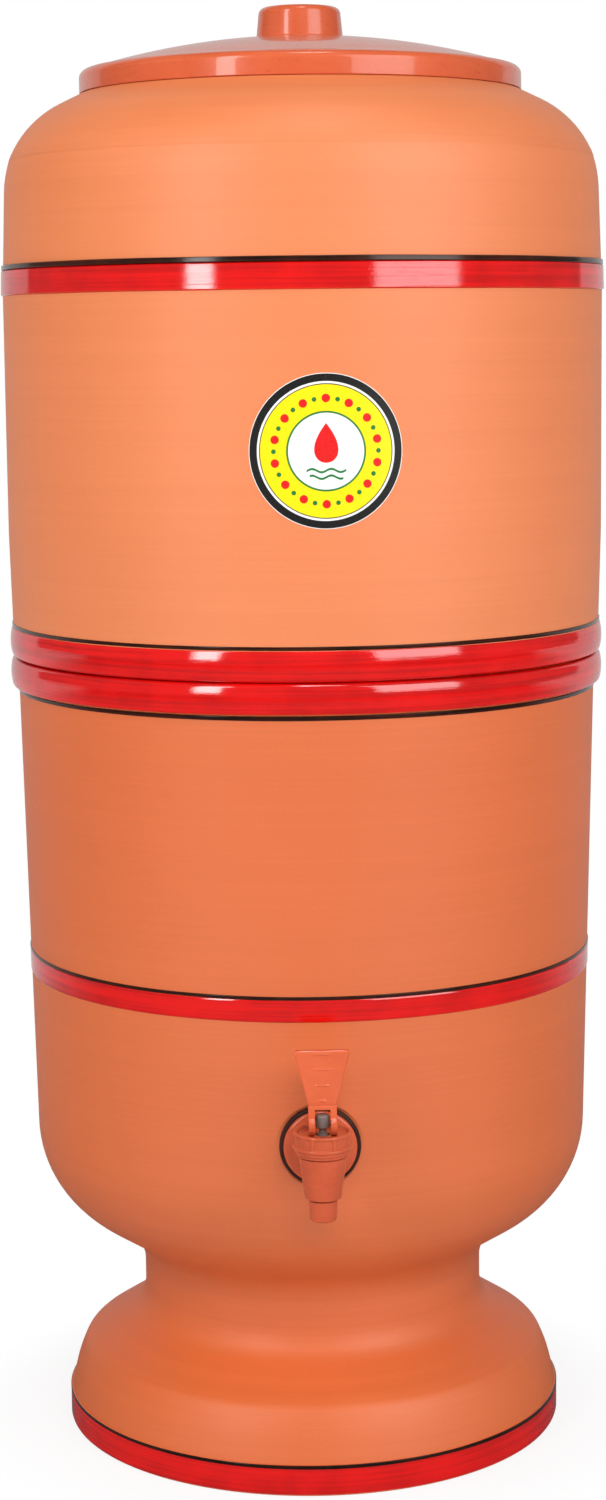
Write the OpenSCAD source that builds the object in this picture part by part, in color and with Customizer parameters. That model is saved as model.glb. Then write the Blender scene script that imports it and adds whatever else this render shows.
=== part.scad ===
// Clay water pot with tap: two stacked terracotta vessels with filter candles
// between them, a plastic lid, and a lever tap low on the lower vessel.
// Millimetres, +Z up. The origin is on the vessels' axis at the table, and the
// tap points along -Y.

/* [Lower vessel] */
// Height of the lower vessel's rim above the table
lower_h = 321; // [280:1:380]
// Outside radius of the foot where it stands
foot_r = 102.2; // [95:0.1:112]
// Radius of the bell-shaped foot at its shoulder
bell_r = 94.9; // [90:0.1:97]
// Height of the foot's shoulder above the table
bell_h = 33.1; // [30:0.1:37]
// Height at which the foot's slope would meet the neck
foot_h = 48.9; // [45:0.1:54]
// Outside radius of the neck between foot and bowl
neck_r = 70.1; // [64:0.1:76]
// Height at which the neck would meet the underside of the bowl
neck_top = 75; // [70:0.1:80]
// How much narrower the lower vessel's wall is at its bottom than at its top
lower_taper = 4.1; // [2:0.1:8]
// Height at which the bowl's underside would meet its wall
bowl_h = 102.5; // [98:0.1:108]
// Radius of the turn from the bowl's underside to its wall
bowl_round = 46.2; // [36:0.1:56]
// How much narrower the lower vessel is under its bead than the upper one above its own
lower_step = 1.9; // [0.5:0.1:4]
// Thickness of the clay walls
wall_t = 9.5; // [7:0.1:12]
// Thickness of the clay floor of the lower vessel
lower_floor_t = 10; // [8:0.5:14]

/* [Upper vessel] */
// Height of the upper vessel from its seat to its mouth
upper_h = 224; // [200:0.5:260]
// Outside radius of the upper vessel at the painted band
upper_top_r = 119.7; // [117:0.1:125]
// How much narrower the upper vessel is just above its bead
upper_taper = 1; // [0.2:0.1:3]
// How far the shoulder's upper turn lies inside the wall
shoulder_in = 9.4; // [6:0.1:16]
// Depth of the shoulder's upper turn below the mouth
shoulder_drop = 13.6; // [12:0.1:16]
// Radius of the mouth
mouth_r = 73; // [68:0.5:75]
// Thickness of the upper vessel's floor
upper_floor_t = 11; // [8:0.5:14]
// Depth of the spigot that drops into the lower vessel
spigot_h = 8; // [5:0.5:12]

/* [Beads and bands] */
// How far the two rounded beads at the joint stand out from the upper vessel's wall
bead_proud = 1.6; // [0.8:0.1:3]
// Height of each joint bead
bead_h = 12.4; // [10:0.1:15]
// Height of the painted band's lower edge below the mouth
band_drop = 81; // [70:0.5:95]
// Height of the raised painted band, its dark line included
band_h = 11.9; // [8:0.1:16]
// How far the painted band stands out from the clay
band_proud = 0.8; // [0.3:0.1:2]
// Height of the raised band round the foot, its dark line included
foot_band_h = 12.9; // [8:0.1:16]
// How far the foot's band stands out
foot_band_proud = 0.5; // [0.2:0.1:2]

/* [Lid] */
// Outside radius of the lid
lid_r = 87.6; // [84:0.1:92]
// Height of the lid's upright rim
lid_rim_h = 9.2; // [6:0.1:12]
// Rise of the lid's dome from the top of the rim to the crown
dome_rise = 12.6; // [8:0.5:20]
// Thickness of the lid's plastic
lid_t = 2; // [1.4:0.1:3]
// Depth of the ring under the lid that locates it in the mouth
lid_ring_h = 20; // [14:0.5:26]
// Radius of the knob at its foot
knob_r = 17.2; // [14:0.1:22]
// Height of the knob above the crown of the dome
knob_h = 12.6; // [9:0.5:18]

/* [Tap] */
// Height of the tap's shank above the table
tap_z = 144.4; // [138:0.2:170]
// Radius of the threaded shank
shank_r = 8; // [6.5:0.1:9]
// Radius of the shank's water passage
shank_bore_r = 4.6; // [3:0.1:5]
// Radius of the flange outside the wall
flange_r = 14; // [12:0.1:17]
// Thickness of the flange
flange_t = 2.4; // [1.6:0.1:4]
// Radius of the rubber washer behind the flange
washer_r = 15.5; // [13:0.1:18]
// Thickness of the rubber washer behind the flange
washer_t = 2.6; // [1.5:0.1:4]
// Thickness of the rubber washer inside the vessel
inner_washer_t = 3; // [1.5:0.1:5]
// Distance from the flange's front to the axis of the upright barrel
reach = 24; // [16:0.5:30]
// Radius of the barrel's cone at its top
cone_top_r = 9; // [8.4:0.1:10]
// Radius of the barrel's cone at its bottom
cone_low_r = 6.8; // [6:0.1:8]
// Height of the cone
cone_h = 16.4; // [13:0.1:20]
// Height of the cone's top above the shank's axis
cone_top = 4.8; // [4.5:0.1:8]
// Outside radius of the nozzle
nozzle_r = 5.5; // [4.8:0.1:5.8]
// Height of the nozzle below the cone
nozzle_h = 8.8; // [6:0.1:12]
// Radius of the nozzle's bore
nozzle_bore_r = 3.4; // [2.5:0.1:3.7]
// Radius of the valve chamber inside the barrel
chamber_r = 6; // [5.6:0.1:6.2]
// Radius of the ribbed cap's rims
cap_r = 10.9; // [10.4:0.1:13]
// Height of the ribbed cap
cap_h = 6.4; // [5:0.1:8]
// Number of ribs round the cap
cap_ribs = 8; // [6:1:16]
// Height of the ring under the cap, on the barrel
collar_h = 2.5; // [2.3:0.1:4]

/* [Tap lever] */
// Height of the lever's forked legs
leg_h = 11; // [9:0.5:15]
// Width across both legs
fork_w = 10.5; // [9:0.1:12]
// Width of the gap between the legs
fork_gap = 5.8; // [5:0.1:6.4]
// Depth of the legs, front to back
leg_depth = 5; // [4:0.1:6]
// Height of the fan-shaped paddle
fan_h = 20.3; // [15:0.1:28]
// Width of the paddle at its top
fan_w = 20.4; // [14:0.1:26]
// Thickness of the paddle
fan_t = 3; // [2:0.1:4]
// Number of finger ribs on the paddle
fan_ribs = 4; // [2:1:6]
// Radius of the steel pin through the legs
pin_r = 0.9; // [0.7:0.05:1.2]
// Height of the pin above the floor of the cap's dish
pin_rise = 4; // [3:0.1:5]
// How far the lever lifts the valve stem at its full tilt
valve_lift = 2.6; // [1.5:0.1:3]
// Full tilt of the lever, in degrees
lever_tilt = 70; // [50:1:75]
// Radius of the silicone valve stem
stem_r = 2.2; // [1.8:0.1:2.4]

/* [Filter candles] */
// Distance of each candle from the vessels' axis
candle_x = 46; // [40:0.5:60]
// Outside radius of the ceramic dome
candle_r = 25; // [18:0.5:30]
// Height of the ceramic dome above its seat in the base
candle_h = 112; // [80:1:150]
// Thickness of the ceramic
ceramic_t = 7; // [4:0.5:9]
// Radius of the plastic base
candle_base_r = 27.5; // [21:0.5:33]
// Height of the plastic base
candle_base_h = 15; // [10:0.5:20]
// Radius of the base's threaded stem
candle_stem_r = 6; // [5:0.1:7]
// Radius of the water passage in the stem
candle_bore_r = 2.6; // [1.5:0.1:3.5]
// Thickness of the washer under the base
candle_washer_t = 3; // [2:0.1:5]
// Thickness of the wing nut's hub
wing_nut_h = 7; // [5:0.5:10]
// Half of the span over the nut's wings
wing_span = 17; // [13:0.5:20]

/* [Float valves] */
// Radius of the valve housing screwed on the stem
housing_r = 9.5; // [8:0.1:12]
// Height of the valve housing
housing_h = 14; // [12:0.5:18]
// Depth of stem taken up by the housing
housing_grip = 9; // [6:0.5:10]
// Radius of the spout that the float shuts
spout_r = 3.5; // [2.5:0.1:4.5]
// Height of the spout
spout_h = 3; // [2:0.1:5]
// Distance from the stem's axis to the float arm's hinge
hinge_back = 13.5; // [11.5:0.5:18]
// Distance from the stem's axis to the float
float_ahead = 27.5; // [26:0.5:36]
// Radius of the float
float_r = 15; // [10:0.5:17]
// Height of the float
float_h = 18; // [12:0.5:26]
// Angle at which the arm hangs when there is no water, in degrees
float_hang = 24; // [15:1:30]
// Thickness of the rubber pad on the arm
pad_t = 2.4; // [1.5:0.1:4]

/* [Fits] */
// Gap round a screwed or pressed piece
thread_gap = 0.1; // [0.05:0.05:0.3]
// Gap round a piece that turns or slides
running_gap = 0.3; // [0.2:0.05:0.5]
// Gap round a hinge pin
pin_gap = 0.05; // [0.02:0.01:0.1]
// Gap between the clay pieces where one drops into the other
clay_gap = 1.2; // [0.8:0.1:3]
// Gap round a stem that passes through a hole in the clay
hole_gap = 0.7; // [0.3:0.1:1.5]

/* [Hidden] */
$fn = 96;
arc_step = 12; // degrees between the points of a large rounded corner
arc_chord = 2.2; // shortest side of a small one
straight = 89.5; // half angle beyond which a corner counts as straight

clay = "#e07b4c";
lid_plastic = "#e2643c";
tap_plastic = "#e06a45";
rubber = "#2a1a16";
silicone = "#b9aaa4";
white_plastic = "#f0efe9";
fired_white = "#f6f2ea";
charcoal = "#2b2b2d";
steel = "#b8bcc0";

// ---------- outlines with rounded corners ----------

function unit(v) = v / norm(v);
function xy(v) = [v.x, v.y];
function left_of(v) = [-v.y, v.x];

// The centre of the arc that rounds corner b between a and c to the radius b.z
function centre_of(a, b, c) =
  let (u = unit(xy(a) - xy(b)), w = unit(xy(c) - xy(b)))
  xy(b) + unit(u + w) * b.z / sin(acos(u * w) / 2);

// The points of corner b between a and c, rounded to the radius b.z
function corner(a, b, c) =
  let (
    u = unit(xy(a) - xy(b)),
    w = unit(xy(c) - xy(b)),
    half = acos(min(1, max(-1, u * w))) / 2
  )
  b.z < 0.01 || half > straight ? [xy(b)] :
  let (
    cut = b.z / tan(half),
    centre = centre_of(a, b, c),
    p = xy(b) + u * cut - centre,
    q = xy(b) + w * cut - centre,
    from = atan2(p.y, p.x),
    turn = (atan2(q.y, q.x) - from + 540) % 360 - 180,
    step = max(arc_step, min(45, arc_chord / b.z * 180 / PI)),
    n = max(2, ceil(abs(turn) / step))
  )
  [for (i = [0:n]) centre + b.z * [cos(from + turn * i / n), sin(from + turn * i / n)]];

// A closed outline from corners given as [x, y, radius]
function rounded(v) =
  let (n = len(v))
  [for (i = [0:n - 1]) each corner(v[(i + n - 1) % n], v[i], v[(i + 1) % n])];

// Corners of an open path moved sideways by t to its left, its walls kept parallel
function beside(v, t) =
  let (n = len(v))
  [for (i = [0:n - 1])
    let (
      into = unit(xy(v[max(i, 1)]) - xy(v[max(i, 1) - 1])),
      out = unit(xy(v[min(i + 1, n - 1)]) - xy(v[min(i, n - 2)])),
      m = unit(left_of(into) + left_of(out)),
      k = t / (m * left_of(into)),
      turns_left = into.x * out.y - into.y * out.x > 0
    )
    [v[i].x + m.x * k, v[i].y + m.y * k, max(0, v[i].z + (turns_left ? -t : t))]];

function reversed(v) = [for (i = [len(v) - 1:-1:0]) v[i]];
function part_of(v, a, b) = [for (i = [a:b]) v[i]];
function after_first(v) = part_of(v, 1, len(v) - 1);

module turned(v) { rotate_extrude() polygon(rounded(v)); }

// A plain ring or washer standing on z = 0
module ring(outer, inner, h, round_edge = 0) {
  turned([
    [inner, 0, 0], [outer, 0, round_edge], [outer, h, round_edge], [inner, h, 0]
  ]);
}

// ---------- the two vessels ----------

upper_low_r = upper_top_r - upper_taper;
lower_top_r = upper_low_r - lower_step;
bowl_r = lower_top_r - lower_taper;     // the lower vessel's wall at its bottom
shoulder_r = upper_top_r - shoulder_in;
bead_r = upper_low_r + bead_proud;      // the beads, the widest place of all
bead_foot = lower_h - bead_h;
bead_lip = 1.2;           // how far a bead is rounded back at its edges
bead_drop = 0.7;
joint_r = bead_r - 3.8;   // radius at which the joint's faces stop short of the beads
edge_soft = 1.2;          // softened edges of the clay
foot_soft = 1.5;

// A rounded bead from the point low to the point high
function bead(low, high) = [
  [low.x, low.y, 0],
  [bead_r - bead_lip, low.y + bead_drop, 1.8],
  [bead_r, (low.y + high.y) / 2, 20],
  [bead_r - bead_lip, high.y - bead_drop, 1.8],
  [high.x, high.y, 0]
];

bell_side_round = 46;     // the bell's nearly straight side
bell_round = 8.5;         // its shoulder
foot_inside_round = 5;    // the turns of the foot's hollow
foot_neck_round = 15;     // the hollow turns below and above the neck
bowl_neck_round = 17;
foot_outline = [
  [foot_r - foot_band_proud, foot_band_h, 0],
  [bell_r + 3.7, bell_h - 8.4, bell_side_round],
  [bell_r, bell_h, bell_round],
  [neck_r, foot_h, foot_neck_round],
  [neck_r, neck_top, bowl_neck_round]
];
bowl_outline = [
  [neck_r, neck_top, bowl_neck_round],
  [bowl_r, bowl_h, bowl_round],
  [lower_top_r, bead_foot, 0]
];

// Outside radius of the lower vessel's straight wall at height z
function wall_r(z) = bowl_r + (lower_top_r - bowl_r) * (z - bowl_h) / (bead_foot - bowl_h);

bowl_inside = beside(bowl_outline, wall_t);
bowl_turn = bowl_round - wall_t;
lower_floor_z = centre_of(bowl_outline[0], bowl_outline[1], bowl_outline[2]).y - bowl_turn;
rim_inner_r = bowl_inside[2].x;
foot_inside = beside(concat([[foot_r - 1, 0, 0]], foot_outline), wall_t - 1.5);

module lower_vessel_clay() {
  turned(concat(
    // up the outside, from the table to the rim
    [[foot_r, 0, foot_soft], [foot_r, foot_band_h, foot_band_proud * 0.8]],
    part_of(foot_outline, 0, 4),
    [bowl_outline[1]],
    bead([lower_top_r, bead_foot], [joint_r, lower_h]),
    [[rim_inner_r, lower_h, edge_soft]],
    // down the inside of the reservoir, and across its floor
    [[bowl_inside[1].x, lower_floor_z, bowl_turn],
     [0, lower_floor_z, 0],
     [0, lower_floor_z - lower_floor_t, 0]],
    // the hollow of the foot
    [[foot_inside[5].x, lower_floor_z - lower_floor_t, 6]],
    [for (i = [4, 3, 2]) [foot_inside[i].x, foot_inside[i].y, foot_inside_round]],
    [[foot_inside[0].x, 0, foot_soft]]
  ));
}

tap_seat_y = wall_r(tap_z) - 1.1;                  // flat ground outside, for the washer
tap_inner_y = wall_r(tap_z) - wall_t - 0.2;        // flat ground inside, for the nut
tap_hole_r = shank_r + hole_gap;
seat_r = washer_r + 0.8;

module toward_front() { rotate([90, 0, 0]) children(); }   // turns +Z to -Y

module lower_vessel() {
  color(clay)
  difference() {
    lower_vessel_clay();
    // the tap's hole and the flats ground round it
    translate([0, 0, tap_z]) toward_front() cylinder(r = tap_hole_r, h = bead_r);
    translate([0, -tap_seat_y, tap_z]) toward_front() cylinder(r = seat_r, h = wall_t);
    translate([0, -tap_inner_y + wall_t, tap_z]) toward_front() cylinder(r = seat_r, h = wall_t);
  }
}

mouth_z = lower_h + upper_h;
upper_floor_z = lower_h - spigot_h + upper_floor_t;
band_z = mouth_z - band_drop;
lip_r = mouth_r + 9;                 // where the shoulder would meet the flat lip
lip_round = 9;                       // the turn from the lip to the shoulder
shoulder_z = mouth_z - shoulder_drop;
shoulder_start = mouth_z - 33;       // height of the shoulder's lower turn
shoulder_low_round = 45;
shoulder_high_round = 40;
belly_rise = 49;                     // from the joint to the wall's widest place
belly_round = 200;
mouth_round = 3;
inner_corner_round = 12;             // between the upper vessel's floor and its wall
spigot_r = rim_inner_r - clay_gap;

// Height of the shoulder's slope at radius r
function shoulder_at(r) =
  mouth_z + (shoulder_z - mouth_z) * (r - lip_r) / (shoulder_r - lip_r);

wall_outline = [
  [upper_low_r, lower_h + bead_h, 0],
  [upper_top_r - 0.1, lower_h + belly_rise, belly_round],
  [upper_top_r, band_z, 0]
];
shoulder_outline = [
  [upper_top_r - 0.5, band_z + band_h, 0],
  [upper_top_r - 1.8, shoulder_start, shoulder_low_round],
  [shoulder_r, shoulder_z, shoulder_high_round],
  [mouth_r, shoulder_at(mouth_r), 0]
];
upper_inside = beside(
  concat(part_of(wall_outline, 0, 1), part_of(shoulder_outline, 1, 3)), wall_t);

module upper_vessel_clay() {
  turned(concat(
    [[0, lower_h - spigot_h, 0],
     [spigot_r, lower_h - spigot_h, edge_soft],
     [spigot_r, lower_h, 0]],
    bead([joint_r, lower_h], [upper_low_r, lower_h + bead_h]),
    part_of(wall_outline, 1, 2),
    [[upper_top_r + band_proud, band_z, band_proud * 0.5],
     [upper_top_r + band_proud, band_z + band_h, band_proud * 0.5]],
    part_of(shoulder_outline, 0, 2),
    [[lip_r, mouth_z, lip_round],
     [mouth_r, mouth_z, mouth_round],
     [mouth_r, upper_inside[4].y - 1, 0],
     [upper_inside[3].x, upper_inside[3].y, upper_inside[3].z],
     [upper_inside[2].x, upper_inside[2].y, upper_inside[2].z],
     [upper_inside[1].x, upper_inside[1].y, 0],
     [upper_inside[0].x, upper_floor_z, inner_corner_round],
     [0, upper_floor_z, 0]]
  ));
}

sides = [-1, 1];    // the left and the right candle
stem_hole_r = candle_stem_r + hole_gap;

module upper_vessel() {
  color(clay)
  difference() {
    upper_vessel_clay();
    for (s = sides)
      translate([s * candle_x, 0, lower_h - spigot_h - 1])
        cylinder(r = stem_hole_r, h = upper_floor_t + 2);
  }
}

// ---------- the lid ----------

lid_low_z = shoulder_at(lid_r) + running_gap;              // the rim's outer edge
lid_step = shoulder_at(lid_r - lid_t) - shoulder_at(lid_r);  // and how much higher the inner
lid_top_z = lid_low_z + lid_rim_h;
crown_z = lid_top_z + dome_rise;
dome_edge_r = lid_r - 2.6;
dome_R = (dome_edge_r * dome_edge_r + dome_rise * dome_rise) / (2 * dome_rise);
knob_top = crown_z + knob_h;
knob_taper = 1.2;
ring_outer = mouth_r - clay_gap - 1.3;
rest_outer = lip_r - 2.6;            // the foot that stands on the mouth's flat lip
rest_t = 1.8;

// Height of the dome's outside at radius r, on a sphere of radius dome_R
function dome_at(r) = crown_z - dome_R + sqrt(dome_R * dome_R - r * r);
function dome_points(r0, r1, drop, n = 7) =
  [for (i = [0:n]) let (r = r0 + (r1 - r0) * i / n) [r, dome_at(r) - drop, 0]];

module lid() {
  color(lid_plastic) {
    // rim, dome and knob, hollow from below
    turned(concat(
      [[lid_r, lid_low_z, 0.3], [lid_r, lid_top_z, 3.2]],
      dome_points(dome_edge_r - 3, knob_r + 2, 0),
      [[knob_r, dome_at(knob_r), 0.8],
       [knob_r - knob_taper, knob_top - 0.9, 2.8],
       [3.2, knob_top - 0.4, 0.3], [2.9, knob_top, 0.3], [0, knob_top, 0],
       [0, knob_top - lid_t - 0.6, 0],
       [knob_r - knob_taper - lid_t, knob_top - lid_t - 0.9, 1.6],
       [knob_r - lid_t, dome_at(knob_r) - lid_t, 0.8]],
      dome_points(knob_r + 4, dome_edge_r - 6, lid_t),
      [[lid_r - lid_t, lid_top_z - 2.4, 0], [lid_r - lid_t, lid_low_z + lid_step, 0]]
    ));
    // the foot that stands on the lip, and the ring that locates the lid in the mouth
    lid_wall(rest_outer, rest_t, mouth_z);
    lid_wall(ring_outer, lid_t, mouth_z - lid_ring_h);
  }
}

// An upright wall under the dome
module lid_wall(outer, t, low) {
  turned([
    [outer - t, low, 0.5], [outer, low, 0.5],
    [outer, dome_at(outer) - lid_t / 2, 0], [outer - t, dome_at(outer - t) - lid_t / 2, 0]
  ]);
}

// ---------- the tap ----------

flange_back_y = tap_seat_y + washer_t;
barrel_y = flange_back_y + flange_t + reach;
nut_h = 7;
nut_across = 13;         // radius over the back nut's corners
shank_end_y = tap_inner_y - inner_washer_t - nut_h - 4;
cone_low = cone_top - cone_h;
nozzle_low = cone_low - nozzle_h;
seat_z = cone_low + 3.2;               // the valve seat, above the nozzle's bore
collar_top = cone_top + collar_h;
neck_bar_r = 6.4;                      // the bar that carries the barrel
barrel_top_r = chamber_r + 2.2;        // the threaded top of the barrel, inside the cap
barrel_top = collar_top + 3;

module at_tap() { translate([0, -barrel_y, tap_z]) children(); }

module tap_body() {
  color(tap_plastic)
  difference() {
    union() {
      // threaded shank, flange and the bar to the barrel
      translate([0, -shank_end_y, tap_z]) toward_front() {
        cylinder(r1 = shank_r - 0.8, r2 = shank_r, h = 0.8);
        translate([0, 0, 0.8])
          cylinder(r = shank_r, h = flange_back_y + flange_t / 2 - shank_end_y - 0.8);
      }
      translate([0, -flange_back_y, tap_z]) toward_front()
        turned([[0, 0, 0], [flange_r, 0, 0.5], [flange_r, flange_t - 0.7, 0.7],
          [neck_bar_r + 2, flange_t, 1], [0, flange_t, 0]]);
      translate([0, -flange_back_y, tap_z]) toward_front()
        cylinder(r = neck_bar_r, h = flange_t + reach);
      // upright barrel: nozzle, cone, stepped collar and the spigot for the cap
      at_tap() turned([
        [0, nozzle_low, 0],
        [nozzle_r - 0.5, nozzle_low, 1.2],
        [nozzle_r, cone_low + 0.1, 0],
        [cone_low_r, cone_low, 0.3],
        [cone_top_r, cone_top, 0],
        [cap_r - 1.2, cone_top, 0.4],
        [cap_r - 1.0, cone_top + collar_h / 2, 0],
        [cap_r - 0.3, cone_top + collar_h / 2 + 0.1, 0.3],
        [cap_r - 0.3, collar_top, 0.3],
        [barrel_top_r, collar_top, 0],
        [barrel_top_r, barrel_top, 0.3],
        [0, barrel_top, 0]
      ]);
    }
    at_tap() {
      translate([0, 0, nozzle_low - 1]) cylinder(r = nozzle_bore_r, h = cone_h + nozzle_h);
      translate([0, 0, seat_z]) cylinder(r = chamber_r, h = cone_h + nozzle_h);
    }
    translate([0, -shank_end_y + 1, tap_z]) toward_front()
      cylinder(r = shank_bore_r, h = barrel_y - shank_end_y);
  }
}

module tap_outer_washer() {
  color(rubber)
  translate([0, -tap_seat_y, tap_z]) toward_front()
    ring(washer_r, shank_r + thread_gap, washer_t, washer_t / 2 - 0.2);
}

module tap_inner_washer() {
  color(rubber)
  translate([0, -tap_inner_y + inner_washer_t, tap_z]) toward_front()
    ring(nut_across + 0.6, shank_r + thread_gap, inner_washer_t, 0.8);
}

module tap_back_nut() {
  color(tap_plastic)
  translate([0, -tap_inner_y + inner_washer_t + nut_h, tap_z]) toward_front()
  difference() {
    union() {
      cylinder(r = nut_across, h = nut_h - 1.6, $fn = 6);
      translate([0, 0, nut_h - 1.6]) cylinder(r = nut_across + 0.2, h = 1.6);
    }
    translate([0, 0, -1]) cylinder(r = shank_r + thread_gap, h = nut_h + 2);
  }
}

cap_low = collar_top;
cap_top = cap_low + cap_h;
dish_z = cap_top - 1.2;                // floor of the dish in the cap's top
cap_under = dish_z - 1.2;              // underside of that floor
stem_way_r = stem_r + running_gap + 0.2;
rib_w = 1.2;

module tap_cap() {
  color(tap_plastic)
  at_tap() {
      turned([
        [stem_way_r, cap_under, 0.3],
        [barrel_top_r + thread_gap, cap_under, 0],
        [barrel_top_r + thread_gap, cap_low, 0],
        [cap_r + 0.3, cap_low, 0.5],
        [cap_r + 0.3, cap_low + 1.2, 0.4],
        [cap_r - 0.6, cap_low + 1.5, 0.2],
        [cap_r - 0.6, cap_top - 1.3, 0.2],
        [cap_r, cap_top - 1.0, 0.3],
        [cap_r, cap_top, 0.5],
        [cap_r - 1.4, cap_top, 0.5],
        [cap_r - 1.8, dish_z, 0.5],
        [stem_way_r, dish_z, 0.3]
      ]);
      for (i = [0:cap_ribs - 1])
        rotate(360 * (i + 0.5) / cap_ribs)
          translate([cap_r - 1.4, -rib_w / 2, cap_low + 0.8])
            cube([1.4, rib_w, cap_h - 1.4]);
  }
}

// silicone valve: a stem and plug that lift, and the thin skirt that flexes
plug_r = nozzle_bore_r + 1.8;
plug_h = 4.5;
skirt_t = 0.9;
skirt_low = seat_z + plug_h + valve_lift + 0.6;
pin_z = dish_z + pin_rise;
head_r = fork_gap / 2 - running_gap;
head_top = pin_z + 3.4;
neck_of_stem_r = stem_r * 0.6;         // between the cap and the head

module valve_skirt() {
  color(silicone)
  at_tap() turned([
    [stem_r + 0.5, skirt_low, 0],
    [stem_r + 0.5 + skirt_t, skirt_low, 0.3],
    [chamber_r - 0.3, barrel_top - 1.5, 1.2],
    [chamber_r - 0.3, barrel_top, 0],
    [barrel_top_r - 0.1, barrel_top, 0],
    [barrel_top_r - 0.1, cap_under, 0],
    [chamber_r - 1, cap_under, 0],
    [stem_r + 0.5, skirt_low + 1.6, 0.4]
  ]);
}

module valve_stem() {
  color(silicone)
  at_tap()
  difference() {
    union() {
      turned([
        [0, seat_z - 0.9, 0],
        [nozzle_bore_r - 0.4, seat_z - 0.9, 0.3],
        [nozzle_bore_r - 0.2, seat_z, 0],
        [plug_r, seat_z, 0.4],
        [plug_r, seat_z + plug_h - 2, 1],
        [stem_r, seat_z + plug_h, 1],
        [stem_r, dish_z + 0.5, 0],
        [neck_of_stem_r, dish_z + 0.8, 0],
        [neck_of_stem_r, pin_z - 1.8, 0],
        [head_r, pin_z - 1.6, 0.6],
        [head_r, head_top, 0.8],
        [0, head_top, 0]
      ]);
    }
    translate([-head_r - 1, 0, pin_z]) rotate([0, 90, 0])
      cylinder(r = pin_r + pin_gap, h = 2 * head_r + 2);
  }
}

module lever_pin() {
  color(steel)
  at_tap() translate([-fork_w / 2 + 0.2, 0, pin_z]) rotate([0, 90, 0])
    cylinder(r = pin_r, h = fork_w - 0.4);
}

// The foot of each leg is a cam: its reach below the pin grows evenly with the
// tilt, so its outline is the involute of a small circle.
cam_start = pin_rise - 0.08;
cam_rate = valve_lift / lever_tilt;                 // mm of lift for each degree
cam_end = lever_tilt + 12;
function cam_point(a) =
  let (h = cam_start + cam_rate * a, k = cam_rate * 180 / PI)
  [-h * sin(a) - k * cos(a), -h * cos(a) + k * sin(a)];
leg_back = 2.2;                                     // the leg behind the pin
leg_top = leg_h - pin_rise;                         // the legs' top above the pin
bridge_h = 1.6;                                     // the paddle's root between the legs
rib_r = 0.6;                                        // the finger ribs, wider towards the top
rib_w0 = 3;
rib_grow = 1.5;
rib_edge = 1.4;                                     // lowest and highest rib to the paddle's ends
rib_step = (fan_h - 2 * rib_edge) / (fan_ribs - 1);

// Side view of a leg about the pin: x is towards the back, y is up
function leg_side() = concat(
  [[leg_back, -cam_start + 1], [leg_back - 1, -cam_start]],
  [for (a = [0:6:cam_end]) cam_point(a)],
  [[leg_back - leg_depth, 2.5], [leg_back - leg_depth + 0.8, leg_top], [leg_back, leg_top]]
);

module tap_lever() {
  color(tap_plastic)
  at_tap() translate([0, 0, pin_z]) {
    difference() {
      for (s = [-1, 1])
        translate([s < 0 ? -fork_w / 2 : fork_gap / 2, 0, 0])
          rotate([90, 0, 90])
            linear_extrude(height = (fork_w - fork_gap) / 2) polygon(leg_side());
      translate([-fork_w, 0, 0]) rotate([0, 90, 0])
        cylinder(r = pin_r + pin_gap, h = 2 * fork_w);
    }
    // the paddle: its front outline, cut to its side view, and its finger ribs
    translate([0, 0, leg_top]) {
      intersection() {
        translate([0, leg_back + 1, 0]) rotate([90, 0, 0])
          linear_extrude(height = leg_depth)
            polygon(rounded([
              [-fork_w / 2, -bridge_h, 0.4], [fork_w / 2, -bridge_h, 0.4], [fork_w / 2, 0.4, 3],
              [fan_w / 2, fan_h - 1.4, 0.8], [fan_w / 2 - 0.7, fan_h, 0.8],
              [-fan_w / 2 + 0.7, fan_h, 0.8], [-fan_w / 2, fan_h - 1.4, 0.8],
              [-fork_w / 2, 0.4, 3]
            ]));
        translate([-fan_w, 0, 0]) rotate([90, 0, 90])
          linear_extrude(height = 2 * fan_w)
            polygon(rounded([
              [leg_back, -bridge_h - 1, 0], [leg_back, fan_h, 1.3],
              [leg_back - fan_t + 0.5, fan_h, 0.6], [leg_back - fan_t, 0, 0],
              [leg_back - leg_depth + 0.8, 0, 0],
              [leg_back - leg_depth + 0.7, -bridge_h - 1, 0]
            ]));
      }
      for (i = [0:fan_ribs - 1])
        translate([0, leg_back - fan_t + 0.4, rib_edge + i * rib_step])
          rotate([0, 90, 0]) cylinder(r = rib_r, h = rib_w0 + i * rib_grow, center = true);
    }
  }
}

// ---------- the filter candles ----------

candle_foot_z = upper_floor_z + candle_washer_t;
dome_seat_z = candle_foot_z + 5;
stem_low_z = lower_h - spigot_h - wing_nut_h - 2 - housing_grip;
groove_gap = 0.2;

module on_side(s) { translate([s * candle_x, 0, 0]) children(); }

module candle_dome(s) {
  color(fired_white)
  on_side(s) translate([0, 0, dome_seat_z])
    turned([
      [candle_r - ceramic_t, 0, 0], [candle_r, 0, 0.6],
      [candle_r, candle_h, candle_r * 0.8], [0, candle_h, 0],
      [0, candle_h - ceramic_t, 0],
      [candle_r - ceramic_t, candle_h - ceramic_t, candle_r * 0.8 - ceramic_t]
    ]);
}

core_r = candle_r - ceramic_t - 3;
module candle_core(s) {
  color(charcoal)
  on_side(s) translate([0, 0, dome_seat_z])
    cylinder(r = core_r, h = candle_h - ceramic_t - 8);
}

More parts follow.
